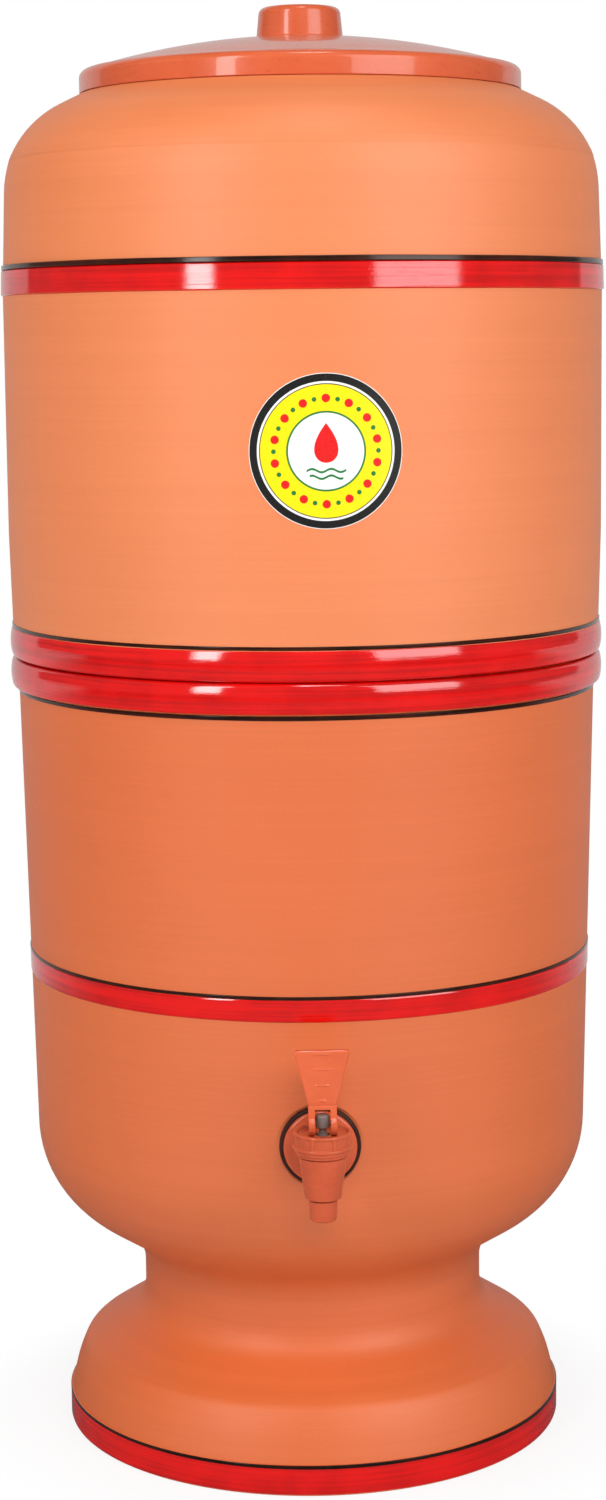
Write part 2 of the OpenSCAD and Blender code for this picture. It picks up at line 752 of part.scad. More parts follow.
module candle_base(s) {
  color(white_plastic)
  on_side(s) translate([0, 0, candle_foot_z])
  difference() {
    union() {
      turned([
        [0, 0, 0], [candle_base_r - 2, 0, 1], [candle_base_r, 3, 1],
        [candle_base_r, candle_base_h, 0.8],
        [candle_r + groove_gap, candle_base_h, 0.4],
        [candle_r + groove_gap, dome_seat_z - candle_foot_z, 0],
        [0, dome_seat_z - candle_foot_z, 0]
      ]);
      translate([0, 0, stem_low_z - candle_foot_z])
        cylinder(r = candle_stem_r, h = candle_foot_z - stem_low_z + 1);
      // grip ribs round the base
      for (i = [0:11])
        rotate(i * 30) translate([candle_base_r - 0.4, -1, 3.5])
          cube([1.1, 2, candle_base_h - 5]);
    }
    translate([0, 0, stem_low_z - candle_foot_z - 1])
      cylinder(r = candle_bore_r, h = candle_foot_z - stem_low_z + 8);
  }
}

module candle_washer(s) {
  color(rubber)
  on_side(s) translate([0, 0, upper_floor_z])
    ring(candle_stem_r + 8.5, candle_stem_r + thread_gap, candle_washer_t, 0.8);
}

wing_t = 2.6;
nut_top_z = lower_h - spigot_h;
module wing_nut(s) {
  color(white_plastic)
  on_side(s) translate([0, 0, nut_top_z - wing_nut_h])
  difference() {
    union() {
      turned([[0, 0, 0], [candle_stem_r + 3, 0, 0.8], [candle_stem_r + 4.4, wing_nut_h - 1.5, 0],
        [candle_stem_r + 6, wing_nut_h - 1.4, 0.4], [candle_stem_r + 6, wing_nut_h, 0.3],
        [0, wing_nut_h, 0]]);
      for (t = [0, 180])
        rotate(t) translate([0, wing_t / 2, 0]) rotate([90, 0, 0])
          linear_extrude(height = wing_t)
            polygon(rounded([
              [candle_stem_r + 1, 0.6, 0], [wing_span - 3, -3.4, 2], [wing_span, -3, 2],
              [wing_span, 3.6, 2], [candle_stem_r + 4.5, wing_nut_h - 1, 0],
              [candle_stem_r + 1, wing_nut_h - 1, 0]
            ]));
    }
    translate([0, 0, -5]) cylinder(r = candle_stem_r + thread_gap, h = wing_nut_h + 10);
  }
}

// ---------- the float valves ----------

housing_low_z = stem_low_z + housing_grip - housing_h;
spout_low_z = housing_low_z - spout_h;
arm_t = 3;
arm_w = 7;
lug_t = 2.4;
lug_gap = arm_w + 2 * running_gap;
arm_z = spout_low_z - 0.25 - pad_t - arm_t / 2;     // the arm's middle when it shuts the spout
float_pin_r = 1.2;
arm_boss_r = 3.2;
tail = 5;                                           // the arm's tail beyond its hinge
float_groove = 0.6;                                 // the groove round the float for its band
stop_rise = tail * sin(float_hang) + arm_t / 2 * cos(float_hang) + 0.1;
hinge_y = hinge_back;

module float_housing(s) {
  color(white_plastic)
  on_side(s)
  difference() {
    union() {
      translate([0, 0, housing_low_z])
        turned([[0, -spout_h, 0], [spout_r - 0.6, -spout_h, 0.3], [spout_r, 0, 0],
          [housing_r - 1.5, 0, 0.8], [housing_r, 2, 0.8], [housing_r, housing_h, 0.8],
          [0, housing_h, 0]]);
      // the two lugs that carry the hinge, with the stop between them
      for (t = [-1, 1])
        translate([t > 0 ? lug_gap / 2 : -lug_gap / 2 - lug_t, 0, 0])
          rotate([90, 0, 90])
            linear_extrude(height = lug_t)
              polygon(rounded([
                [housing_r - 3.5, housing_low_z + 0.5, 0],
                [hinge_y - arm_boss_r, arm_z - arm_boss_r + 0.6, 2],
                [hinge_y + arm_boss_r, arm_z - arm_boss_r + 0.6, 2],
                [hinge_y + arm_boss_r + 2, arm_z + 3, 1],
                [hinge_y + arm_boss_r + 2, arm_z + 5.8, 1],
                [hinge_y, housing_low_z + 3, 2],
                [housing_r - 3.5, housing_low_z + 8, 0]
              ]));
      translate([-lug_gap / 2 - 0.5, hinge_y + 2.6, arm_z + stop_rise])
        cube([lug_gap + 1, arm_boss_r - 1.1, 1.8]);
    }
    // the thread for the stem, the way through the spout, and the hinge's holes
    translate([0, 0, stem_low_z]) cylinder(r = candle_stem_r + thread_gap, h = housing_h);
    translate([0, 0, spout_low_z - 1]) cylinder(r = 1.6, h = housing_h + spout_h);
    translate([-housing_r, hinge_y, arm_z]) rotate([0, 90, 0])
      cylinder(r = float_pin_r + thread_gap, h = 2 * housing_r);
  }
}

module float_pin(s) {
  color(steel)
  on_side(s) translate([-lug_gap / 2 - lug_t, hinge_y, arm_z]) rotate([0, 90, 0])
    cylinder(r = float_pin_r, h = lug_gap + 2 * lug_t);
}

// Places a piece of the arm, drawn as it shuts the spout, where it hangs when dry
module hung(s) {
  on_side(s) translate([0, hinge_y, arm_z]) rotate([float_hang, 0, 0])
    translate([0, -hinge_y, -arm_z]) children();
}

module float_arm(s) {
  color(white_plastic)
  hung(s)
  difference() {
    union() {
      translate([-arm_w / 2, -float_ahead + float_r - 4, arm_z - arm_t / 2])
        cube([arm_w, float_ahead - float_r + 4 + hinge_y + tail, arm_t]);
      translate([-arm_w / 2, hinge_y, arm_z]) rotate([0, 90, 0])
        cylinder(r = arm_boss_r - 0.8, h = arm_w);
      // the band that holds the float
      translate([0, -float_ahead, arm_z - arm_t / 2])
        ring(float_r + 2, float_r - float_groove, arm_t);
    }
    translate([-arm_w, hinge_y, arm_z]) rotate([0, 90, 0])
      cylinder(r = float_pin_r + pin_gap, h = 2 * arm_w);
    translate([0, -float_ahead, arm_z - arm_t]) cylinder(r = float_r - float_groove, h = 2 * arm_t);
  }
}

module float_pad(s) {
  color(rubber)
  hung(s) translate([0, 0, arm_z + arm_t / 2])
    cylinder(r = spout_r + 0.6, h = pad_t);
}

module float_drum(s) {
  color(white_plastic)
  hung(s) translate([0, -float_ahead, arm_z - float_h / 2])
    turned([
      [0, 0, 0], [float_r, 0, 3], [float_r, float_h / 2 - arm_t / 2, 0],
      [float_r - float_groove, float_h / 2 - arm_t / 2, 0],
      [float_r - float_groove, float_h / 2 + arm_t / 2, 0],
      [float_r, float_h / 2 + arm_t / 2, 0], [float_r, float_h, 3], [0, float_h, 0]
    ]);
}

// ---------- nodes ----------

lower_vessel();
upper_vessel();
lid();
tap_body();
tap_outer_washer();
tap_inner_washer();
tap_back_nut();
tap_cap();
valve_skirt();
valve_stem();
lever_pin();
tap_lever();
candle_dome(-1);  // left_candle_dome
candle_core(-1);  // left_candle_core
candle_base(-1);  // left_candle_base
candle_washer(-1);  // left_candle_washer
wing_nut(-1);  // left_wing_nut
float_housing(-1);  // left_float_housing
float_pin(-1);  // left_float_pin
float_arm(-1);  // left_float_arm
float_pad(-1);  // left_float_pad
float_drum(-1);  // left_float
candle_dome(1);  // right_candle_dome
candle_core(1);  // right_candle_core
candle_base(1);  // right_candle_base
candle_washer(1);  // right_candle_washer
wing_nut(1);  // right_wing_nut
float_housing(1);  // right_float_housing
float_pin(1);  // right_float_pin
float_arm(1);  // right_float_arm
float_pad(1);  // right_float_pad
float_drum(1);  // right_float
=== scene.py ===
import math

import bpy
import numpy as np
from mathutils import Matrix, Vector


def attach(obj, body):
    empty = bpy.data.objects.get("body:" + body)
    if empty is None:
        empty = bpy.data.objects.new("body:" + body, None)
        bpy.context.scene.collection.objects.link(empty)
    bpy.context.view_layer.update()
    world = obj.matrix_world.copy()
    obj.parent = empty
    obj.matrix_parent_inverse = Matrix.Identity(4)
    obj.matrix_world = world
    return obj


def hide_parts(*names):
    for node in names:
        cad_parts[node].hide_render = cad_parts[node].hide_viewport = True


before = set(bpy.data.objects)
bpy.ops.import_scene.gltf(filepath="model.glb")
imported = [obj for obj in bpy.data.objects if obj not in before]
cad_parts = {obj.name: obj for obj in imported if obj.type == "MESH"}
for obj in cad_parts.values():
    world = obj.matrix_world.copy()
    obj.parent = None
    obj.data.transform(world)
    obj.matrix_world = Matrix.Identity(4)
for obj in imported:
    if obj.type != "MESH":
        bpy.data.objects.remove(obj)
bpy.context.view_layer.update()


# ---------------------------------------------------------------- camera
# The photograph was taken from the front, a little to the left of the tap, from
# just under the height of the lid, with a long lens and a slightly turned camera.

def look_from(side, distance, height, turned, down, roll, focal):
    """Camera beside the upright axis: turned degrees round it from the front, then
    pitched down and rolled. focal is for a 36 mm long side."""
    a, d, r = (math.radians(v) for v in (turned, down, roll))
    ahead = Vector((-math.sin(a), math.cos(a), 0))
    level_right = Vector((math.cos(a), math.sin(a), 0))
    level_up = ahead * math.sin(d) + Vector((0, 0, math.cos(d)))
    back = Vector((0, 0, math.sin(d))) - ahead * math.cos(d)
    right = level_right * math.cos(r) + level_up * math.sin(r)
    up = level_up * math.cos(r) - level_right * math.sin(r)
    place = level_right * side - ahead * distance + Vector((0, 0, height))
    data = bpy.data.cameras.new("studio_camera")
    data.lens, data.sensor_width = focal, 36
    data.clip_start, data.clip_end = 0.05, 50
    made = bpy.data.objects.new("studio_camera", data)
    bpy.context.scene.collection.objects.link(made)
    turn = Matrix((right, up, back)).transposed().to_4x4()
    made.matrix_world = Matrix.Translation(place) @ turn
    bpy.context.scene.camera = made


camera_turn = -1.62
look_from(side=-0.0017, distance=1.1687, height=0.4487, turned=camera_turn, down=8.255,
          roll=-0.618, focal=69.036)


# ---------------------------------------------------------------- floor and light
# A white studio table and backdrop. A narrow soft box stands on the left and a wide
# one on the right. Broad fills light every side evenly, and one lamp hangs overhead.

class Wire:
    """A value in a material's node tree. Sums and products of wires and numbers add
    Math nodes, and node() adds any other node."""

    def __init__(self, tree, socket=None):
        self.tree, self.socket = tree, socket

    def node(self, kind, settings=None, values=None, out=0):
        """Adds a node of this kind: its settings first, then the values or wires of
        its sockets. The new wire is its output number out."""
        made = self.tree.nodes.new("ShaderNode" + kind)
        for name, value in (settings or {}).items():
            setattr(made, name, value)
        for name, value in (values or {}).items():
            if isinstance(value, Wire):
                self.tree.links.new(value.socket, made.inputs[name])
            else:
                made.inputs[name].default_value = value
        return Wire(self.tree, made.outputs[out])

    def math(self, operation, *values):
        """This value and any others through a Math node."""
        return self.node("Math", {"operation": operation}, dict(enumerate((self, *values))))

    def __add__(self, other):
        return self.math("ADD", other)

    def __sub__(self, other):
        return self.math("SUBTRACT", other)

    def __rsub__(self, other):
        return self * -1 + other

    def __mul__(self, other):
        return self.math("MULTIPLY", other)

    def __truediv__(self, other):
        return self.math("DIVIDE", other)

    __radd__, __rmul__ = __add__, __mul__

    def clamped(self):
        """This value, kept between 0 and 1."""
        return self.node("MapRange", {"interpolation_type": "LINEAR"}, {"Value": self})

    def smooth(self, low, high):
        """0 below low, 1 above high, and an even curve between them."""
        return self.node("MapRange", {"interpolation_type": "SMOOTHSTEP"}, {
            "Value": self, "From Min": low, "From Max": high})

    def tint(self, dark, light):
        """This value as a colour between two colours or wires."""
        colour = lambda c: c if isinstance(c, Wire) else (*c, 1)
        return self.node("Mix", {"data_type": "RGBA"}, {
            0: self, 6: colour(dark), 7: colour(light)}, out=2)

    def stretched(self, x, y, z):
        """This place, with each axis scaled."""
        return self.node("Mapping", {}, {"Vector": self, "Scale": (x, y, z)})

    def noise(self, scale, detail, rough):
        """Soft noise at this place, between 0 and 1."""
        return self.node("TexNoise", {}, {
            "Vector": self, "Scale": scale, "Detail": detail, "Roughness": rough})

    def axes(self):
        """This place's x, y and z."""
        return [self.node("SeparateXYZ", {}, {"Vector": self}, out=i) for i in range(3)]


def principled(name, **sockets):
    """Starts a material with one Principled shader. place is the point on the object,
    and feed() links or sets the shader's sockets, and its bumps from a height."""
    made = bpy.data.materials.new(name)
    made.use_nodes = True
    shader = made.node_tree.nodes["Principled BSDF"]
    place = Wire(made.node_tree).node("TexCoord", out=3)

    def feed(height=None, depth=None, strength=None, **values):
        for socket, value in values.items():
            socket = shader.inputs[socket.replace("_", " ")]
            if isinstance(value, Wire):
                made.node_tree.links.new(value.socket, socket)
            else:
                socket.default_value = value
        if height is not None:
            bent = height.node("Bump", {}, {
                "Height": height, "Distance": depth, "Strength": strength})
            made.node_tree.links.new(bent.socket, shader.inputs["Normal"])

    feed(**sockets)
    return made, place, feed


def studio_paper():
    """White paper that keeps the object's shadow near it. Further away the camera sees
    it evenly lit. Reflections see it lit behind the object, and a dim room in front."""
    made = bpy.data.materials.new("studio_paper")
    made.use_nodes = True
    tree = made.node_tree
    tree.nodes.clear()
    root = Wire(tree)
    grey, white = (0.93, 0.93, 0.93, 1), (1, 1, 1, 1)
    room_light, room_share, backdrop_share, least_white = 0.06, 0.92, 0.6, 0.84
    shadow_from, shadow_to = 0.105, 0.16
    matt = root.node("BsdfDiffuse", {}, {"Color": grey})
    bright = root.node("Emission", {}, {"Color": white, "Strength": 1.0})
    dim = root.node("Emission", {}, {"Color": white, "Strength": room_light})
    x, y, _ = root.node("TexCoord", out=3).axes()
    away = (x * x + y * y).math("SQRT").smooth(shadow_from, shadow_to)
    behind = y.smooth(-0.1, 0.9)
    seen = root.node("LightPath", out="Is Camera Ray")
    mirrored = root.node("LightPath", out="Is Glossy Ray")
    glow = seen * (least_white + away * (1 - least_white)) + mirrored * behind * backdrop_share
    room = root.node("MixShader", {}, {0: mirrored * room_share, 1: matt, 2: dim})
    shown = root.node("MixShader", {}, {0: glow.clamped(), 1: room, 2: bright})
    end = tree.nodes.new("ShaderNodeOutputMaterial")
    tree.links.new(shown.socket, end.inputs["Surface"])
    return made


# The paper lies flat under the object and curves up far behind it. Past its sides the
# camera sees a white wall.
paper_side, paper_end, paper_top, curve = 8.0, 6.0, 9.0, 0.8
bend = np.radians(np.arange(0, 91, 10))
sweep_y = np.r_[-paper_end, paper_end - curve + curve * np.sin(bend), paper_end]
sweep_z = np.r_[0, curve - curve * np.cos(bend), paper_top]
corners = [(x, y, z) for y, z in zip(sweep_y, sweep_z) for x in (-paper_side, paper_side)]
strips = [(i, i + 1, i + 3, i + 2) for i in range(0, len(corners) - 2, 2)]
paper_mesh = bpy.data.meshes.new("paper")
paper_mesh.from_pydata(corners, [], strips)
paper_mesh.shade_smooth()
paper = bpy.data.objects.new("paper", paper_mesh)
bpy.context.scene.collection.objects.link(paper)
paper_mesh.materials.append(studio_paper())

bpy.context.scene.view_settings.view_transform = "Standard"

# A white wall for the camera, and a weak even light for everything else.
world = bpy.data.worlds.new("studio")
bpy.context.scene.world = world
world.use_nodes = True
ambient = 0.14
surround = world.node_tree.nodes["Background"]
surround.inputs["Color"].default_value = (1, 1, 1, 1)
seen = Wire(world.node_tree).node("LightPath", out="Is Camera Ray")
strength = seen * (1 - ambient) + ambient
world.node_tree.links.new(strength.socket, surround.inputs["Strength"])


def soft_box(name, azimuth, distance, height, size, power, mirrored=True):
    """An area lamp that stands azimuth degrees round the object from the camera and
    points at the middle of the object. Only a mirrored one shows in glossy surfaces."""
    middle = Vector((0, 0, 0.30))
    a = math.radians(azimuth + camera_turn)
    data = bpy.data.lights.new(name, "AREA")
    data.shape, data.size, data.size_y = "RECTANGLE", *size
    data.energy = power
    made = bpy.data.objects.new(name, data)
    bpy.context.scene.collection.objects.link(made)
    made.location = (math.sin(a) * distance, -math.cos(a) * distance, height)
    made.rotation_euler = (middle - made.location).to_track_quat("-Z", "Y").to_euler()
    made.visible_glossy = mirrored


soft_box("left_strip", -37, 1.7, 1.06, (0.32, 1.2), 9)
soft_box("right_box", 42, 1.7, 1.06, (1.1, 1.2), 13)
soft_box("front_fill", 6, 1.6, 1.10, (0.7, 0.5), 13, mirrored=False)
soft_box("left_fill", -78, 1.5, 1.20, (0.8, 0.7), 8, mirrored=False)
soft_box("right_fill", 88, 1.6, 0.90, (0.8, 0.8), 2.2, mirrored=False)
soft_box("overhead", 10, 0.50, 1.70, (0.32, 0.12), 2)
soft_box("back_fill", 180, 2.2, 1.20, (1.2, 0.9), 9, mirrored=False)


# ---------------------------------------------------------------- lower vessel
# The reservoir, its neck and its hollow foot are thrown and turned in one piece of
# red clay and fired without glaze. A hole is drilled through flats ground for the tap.

MM = 0.001     # the sizes of the pieces are in mm


def unit(v):
    """The direction of a vector, at length 1."""
    return np.asarray(v) / np.hypot(*v)


def corner(before, at, after, radius, step):
    """The arc of that radius that touches both sides of a corner, as points."""
    to, out = unit(np.subtract(before, at)), unit(np.subtract(after, at))
    half = math.acos(np.clip(to @ out, -1, 1)) / 2
    if radius < 0.01 or half > math.radians(89.7):
        return [np.asarray(at, float)]
    centre = np.asarray(at) + unit(to + out) * radius / math.sin(half)
    first = np.asarray(at) + to * radius / math.tan(half) - centre
    last = np.asarray(at) + out * radius / math.tan(half) - centre
    start = math.atan2(first[1], first[0])
    sweep = (math.atan2(last[1], last[0]) - start + 3 * math.pi) % (2 * math.pi) - math.pi
    points = max(3, int(abs(math.degrees(sweep)) / step) + 2)
    a = start + sweep * np.linspace(0, 1, points)
    return list(centre + radius * np.stack([np.cos(a), np.sin(a)], 1))


def rounded(corners, step=4.0, longest=8.0, closed=False):
    """The outline through corners (r, z, radius), in mm, each rounded to its radius.
    Long straight stretches are divided evenly."""
    n, out = len(corners), []
    for i, (r, z, radius) in enumerate(corners):
        ends = not closed and i in (0, n - 1)
        before, after = corners[i - 1], corners[(i + 1) % n]
        out += [np.array([r, z], float)] if ends else corner(
            before[:2], (r, z), after[:2], radius, step)
    line = np.array(out + out[:1] if closed else out)
    gaps = np.hypot(*np.diff(line, axis=0).T)
    line, gaps = line[np.r_[True, gaps > 1e-4]], gaps[gaps > 1e-4]
    along = np.r_[0, np.cumsum(gaps)]
    shares = (gaps // longest).astype(int) + 1
    stops = [a + g * np.arange(k) / k for a, g, k in zip(along, gaps, shares)]
    stops = np.concatenate(stops if closed else stops + [along[-1:]])
    return np.stack([np.interp(stops, along, line[:, i]) for i in (0, 1)], 1)


CREASE = math.radians(38)


def skin(name, points, loop=False):
    """Mesh of a grid points[row, column], in metres. Its columns close round on
    themselves, and so do its rows if loop is set. A row whose points all lie together
    becomes one pole. Edges that turn by more than the crease angle are sharp."""
    columns = points.shape[1]
    pole = np.ptp(points, axis=1).max(axis=1) < 1e-9
    column = np.arange(columns)
    start = np.r_[0, np.cumsum(np.where(pole, 1, columns))][:-1]
    index = start[:, None] + np.where(pole[:, None], 0, column)
    low, high = (index, np.roll(index, -1, 0)) if loop else (index[:-1], index[1:])
    faces = np.stack([low, np.roll(low, -1, 1), np.roll(high, -1, 1), high], -1).reshape(-1, 4)
    fan_low, fan_high = faces[:, 0] == faces[:, 1], faces[:, 2] == faces[:, 3]
    mesh = bpy.data.meshes.new(name)
    mesh.from_pydata(points[~(pole[:, None] & (column > 0))].tolist(), [],
                     faces[~(fan_low | fan_high)].tolist()
                     + faces[fan_low][:, [0, 2, 3]].tolist()
                     + faces[fan_high & ~fan_low][:, [0, 1, 2]].tolist())
    mesh.shade_smooth()
    mesh.set_sharp_from_angle(angle=CREASE)
    made = bpy.data.objects.new(name, mesh)
    bpy.context.scene.collection.objects.link(made)
    return made


def angles(around=240):
    """Angles evenly spaced once round."""
    return np.arange(around) * 2 * np.pi / around


def turned(outline, around=240):
    """Grid of a surface of revolution: the outline's point (r, z), in mm, turned by
    the angle a about the axis, lies at (r cos a, r sin a, z)."""
    a = angles(around)
    r, z = outline[:, :1], outline[:, 1:]
    return np.stack([r * np.cos(a), r * np.sin(a), z + 0 * a], -1) * MM


def dress(piece, body, material, slot, *replaced):
    """Gives a new piece its material, lets it ride, and hides what it replaces. The slot
    argument is not used.
    Large faces keep their own normals, so small roundings read as crisp edges."""
    even = piece.modifiers.new("even_normals", "WEIGHTED_NORMAL")
    even.keep_sharp = True
    piece.data.materials.clear()
    piece.data.materials.append(material)
    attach(piece, body)
    if replaced:
        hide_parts(*replaced)


def carved(piece, tool, operation="DIFFERENCE"):
    """Applies a Boolean with the tool to the piece, and deletes the tool."""
    cut = piece.modifiers.new("carve", "BOOLEAN")
    cut.operation, cut.object, cut.solver = operation, tool, "EXACT"
    bpy.context.view_layer.update()
    shaped = bpy.data.meshes.new_from_object(
        piece.evaluated_get(bpy.context.evaluated_depsgraph_get()))
    piece.modifiers.clear()
    shaped.name = piece.name
    piece.data = shaped
    shaped.shade_smooth()
    shaped.set_sharp_from_angle(angle=CREASE)
    bpy.data.objects.remove(tool)


def to_front(grid, centre_z):
    """A grid that was made round Z, laid down so that its axis runs along -Y at the
    height centre_z, in mm."""
    return np.stack([grid[..., 0], -grid[..., 2], grid[..., 1] + centre_z * MM], -1)


def drilled(piece, radius, start, end, centre_z):
    """Cuts a round hole along Y from start to end towards the front, in mm."""
    rod = np.array([(0, start), (radius, start), (radius, end), (0, end)], float)
    carved(piece, skin("cutter", to_front(turned(rod, 96), centre_z)))


lower_h = 321.0
bead_r, bead_h, joint_r = 120.3, 12.4, 116.5
foot_r, foot_band_h = 102.2, 12.9
tap_z, tap_flat, tap_inner_flat = 144.4, 112.434, 103.834


def bead(low, high):
    """Corners of a rounded bead between two points of the wall."""
    shoulder, rise, middle = bead_r - 1.2, 0.7, (low[1] + high[1]) / 2
    return [(*low, 0.4), (shoulder, low[1] + rise, 1.8), (bead_r, middle, 20),
            (shoulder, high[1] - rise, 1.8), (*high, 0.4)]


# From the hollow of the foot over its rim, up the groove of the neck and the wall to
# the bead, and down inside to the floor.
neck_r, neck_in, floor_under, floor_z = 70.1, 62.1, 81.3, 91.3
lower_bead = bead((116.8, lower_h - bead_h), (joint_r, lower_h))
lower_outline = rounded(
    [(0, floor_under, 0), (neck_in, floor_under, 6), (neck_in, 45.0, 22), (88.5, 28.6, 3),
     (91.5, 20, 36), (93.2, 0, 1.5), (foot_r, 0, 1.5), (foot_r, foot_band_h, 0.5),
     (101.5, foot_band_h, 0), (98.6, 24.7, 46), (94.9, 33.1, 8.5), (neck_r, 48.9, 15),
     (neck_r, 75.0, 17), (112.7, 102.5, 46.2)]
    + lower_bead + [(107.3, lower_h, 1.2), (103.2, floor_z, 36.7), (0, floor_z, 0)])
lower_vessel = skin("clay_lower_vessel", turned(lower_outline))
flat_r, tap_hole_r, inside, outside = 16.3, 8.7, 80, 130
drilled(lower_vessel, flat_r, tap_flat, outside, tap_z)
drilled(lower_vessel, flat_r, inside, tap_inner_flat, tap_z)
drilled(lower_vessel, tap_hole_r, inside, outside, tap_z)


def fired_clay(name, dark, light):
    """Unglazed red clay: fine turning lines round the pot, soft clouds of colour from
    the kiln, and a fine grain. A tool has burnished it, so it has a soft sheen."""
    made, place, feed = principled(name, Specular_IOR_Level=1.0)
    lines = place.stretched(4, 4, 900).noise(1.0, 4, 0.6)
    wide_lines = place.stretched(2, 2, 150).noise(1.0, 3, 0.5)
    clouds = place.noise(9, 3, 0.5)
    grain = place.noise(1400, 2, 0.6)
    shade = lines * 0.3 + wide_lines * 0.2 + clouds * 0.3 + grain * 0.2
    feed(Base_Color=shade.smooth(0.28, 0.72).tint(dark, light),
         Roughness=0.46 + lines * 0.1, height=lines * 0.6 + grain * 0.4,
         depth=0.00006, strength=0.3)
    return made


lower_clay = fired_clay("fired_clay_lower", (0.64, 0.123, 0.023), (0.72, 0.147, 0.033))
dress(lower_vessel, "base", lower_clay, "clay", "lower_vessel")


# ---------------------------------------------------------------- upper vessel
# The upper chamber is turned from a paler batch of the clay. Its colour is set paler
# still as a painted sheen, standing in for the soft highlight of the lamps. Its bead
# meets the lower vessel's, and a spigot under its floor drops into the rim. The candles'
# stems fill the two holes in the floor, so these aren't cut here.

# From the spigot's face over the bead, up the wall and the shoulder to the mouth's lip,
# and down inside to the floor.
spigot_r, spigot_z, upper_floor = 106.1, 313, 324
bead_top_r, wall_r, mouth_r, mouth_z = 118.7, 119.6, 73, 545.0
upper_bead = bead((joint_r, lower_h), (bead_top_r, lower_h + bead_h))
upper_outline = rounded(
    [(0, spigot_z, 0), (spigot_r, spigot_z, 1.2), (spigot_r, lower_h, 0)] + upper_bead
    + [(wall_r, 370, 200), (wall_r, 464, 0), (119.2, 476, 0), (117.9, 512, 45),
       (110.3, 531.4, 40), (82, mouth_z, 9), (mouth_r, mouth_z, 3), (mouth_r, 537.5, 2),
       (104.4, 524.5, 32), (108.4, 508, 35), (110.1, 370, 0), (109.4, upper_floor, 12),
       (0, upper_floor, 0)])
upper_vessel = skin("clay_upper_vessel", turned(upper_outline))
# Paler than the lower clay: partly the clay's own tint, partly painted sheen.
upper_clay_and_sheen = fired_clay("fired_clay_upper_and_sheen", (0.72, 0.190, 0.058), (0.79, 0.222, 0.075))
dress(upper_vessel, "upper", upper_clay_and_sheen, "clay", "upper_vessel")


# ---------------------------------------------------------------- painted bands
# Red and black glaze, brushed on while the pot turns on the wheel: over the two beads
# at the joint, round the upper wall, round the lower wall and round the foot.

def offset(line, by):
    """An open outline moved sideways, to the right of its direction, by a distance
    that may change along it."""
    ahead = np.gradient(line, axis=0)
    ahead /= np.hypot(*ahead.T)[:, None]
    return line + np.stack([ahead[:, 1], -ahead[:, 0]], 1) * np.reshape(by, (-1, 1))


def wander(a, size, seed):
    """A slow uneven wave round the pot, as a brush leaves."""
    phase = np.random.default_rng(seed).uniform(0, 2 * np.pi, 6)
    turns = np.array([1, 2, 3, 5, 9, 14])
    return size * (np.sin(a[:, None] * turns + phase) / np.sqrt(turns)).sum(1) / 2


def brushed(name, line, thick, body, material, seed, soft_edge=0.5):
    """A coat of glaze on an outline of the wall, from its low end to its high end. It
    thins to nothing over soft_edge at both edges, and the edges wander a little."""
    along = np.r_[0, np.cumsum(np.hypot(*np.diff(line, axis=0).T))]
    edge = np.clip(np.minimum(along, along[-1] - along) / soft_edge, 0, 1)
    sunk, root, waver = 0.02, 0.25, 0.12
    outer = offset(line, thick * np.sqrt(1 - (1 - edge) ** 2) - sunk)
    inner = offset(line, -root)[::-1]
    share = (np.r_[along, along[::-1]] / along[-1])[:, None]
    grid = turned(np.r_[outer, inner])
    grid[..., 2] += MM * (share * wander(angles(), waver, seed)
                          + (1 - share) * wander(angles(), waver, seed + 1))
    dress(skin(name, grid, loop=True), body, material, "clay")


def within(line, low, high):
    """The stretch of an outline between two heights."""
    return line[(line[:, 1] > low) & (line[:, 1] < high)]


def glaze(name, dark, light, gloss, ior):
    """Glassy glaze with brush streaks that run round the pot and pool here and there."""
    made, place, feed = principled(name, IOR=ior)
    streaks = place.stretched(8, 8, 700).noise(1.0, 4, 0.6)
    pools = place.noise(70, 2, 0.5)
    grain = place.noise(1500, 2, 0.5)
    feed(Base_Color=(streaks * 0.7 + pools * 0.3).smooth(0.35, 0.62).tint(dark, light),
         Roughness=gloss + grain * 0.05, height=streaks * 0.5 + pools * 0.4 + grain * 0.1,
         depth=0.0002, strength=0.6)
    return made


red_glaze = glaze("red_glaze", (0.50, 0.002, 0.002), (0.72, 0.004, 0.003), 0.04, 1.9)
black_glaze = glaze("black_glaze", (0.008, 0.003, 0.002), (0.045, 0.010, 0.005), 0.12, 1.45)

lower_bead_line = rounded(lower_bead, step=3, longest=0.5)
upper_bead_line = rounded(upper_bead, step=3, longest=0.5)


def wall(low, high, r_low, r_high):
    """A straight stretch of the wall between two heights."""
    return np.stack([np.linspace(r_low, r_high, 20), np.linspace(low, high, 20)], 1)


# Each place has a red stroke with a thin black line beside it.
for place, body, red_line, red_thick, black_line, black_thick, seed, black_edge in (
        ("upper_band", "upper", wall(464.2, 474.3, wall_r, 119.3), 0.85,
         wall(474.1, 476.3, 119.3, 119.2), 0.75, 11, 0.35),
        ("upper_bead", "upper", within(upper_bead_line, 321.1, 333.0), 0.14,
         wall(333.0, 334.6, 118.75, 118.8), 0.35, 13, 0.3),
        ("lower_bead", "base", within(lower_bead_line, 309.2, 320.9), 0.14,
         wall(306.9, 308.5, 116.75, 116.8), 0.35, 15, 0.3),
        ("low_band", "base", wall(192.2, 200.8, 114.6, 114.7), 0.28,
         wall(200.7, 202.1, 114.7, 114.75), 0.32, 17, 0.3),
        ("foot_band", "base", wall(0.9, 11.5, foot_r, foot_r), 0.22,
         wall(11.2, 12.7, foot_r, foot_r), 0.26, 19, 0.3)):
    brushed("glaze_" + place, red_line, red_thick, body, red_glaze, seed)
    brushed("glaze_" + place + "_line", black_line, black_thick, body, black_glaze, seed + 1,
            black_edge)


# ---------------------------------------------------------------- lid
# One glossy moulding in terracotta-coloured plastic. It stands on the flat lip of the
# mouth, and a ring under it keeps it in place.

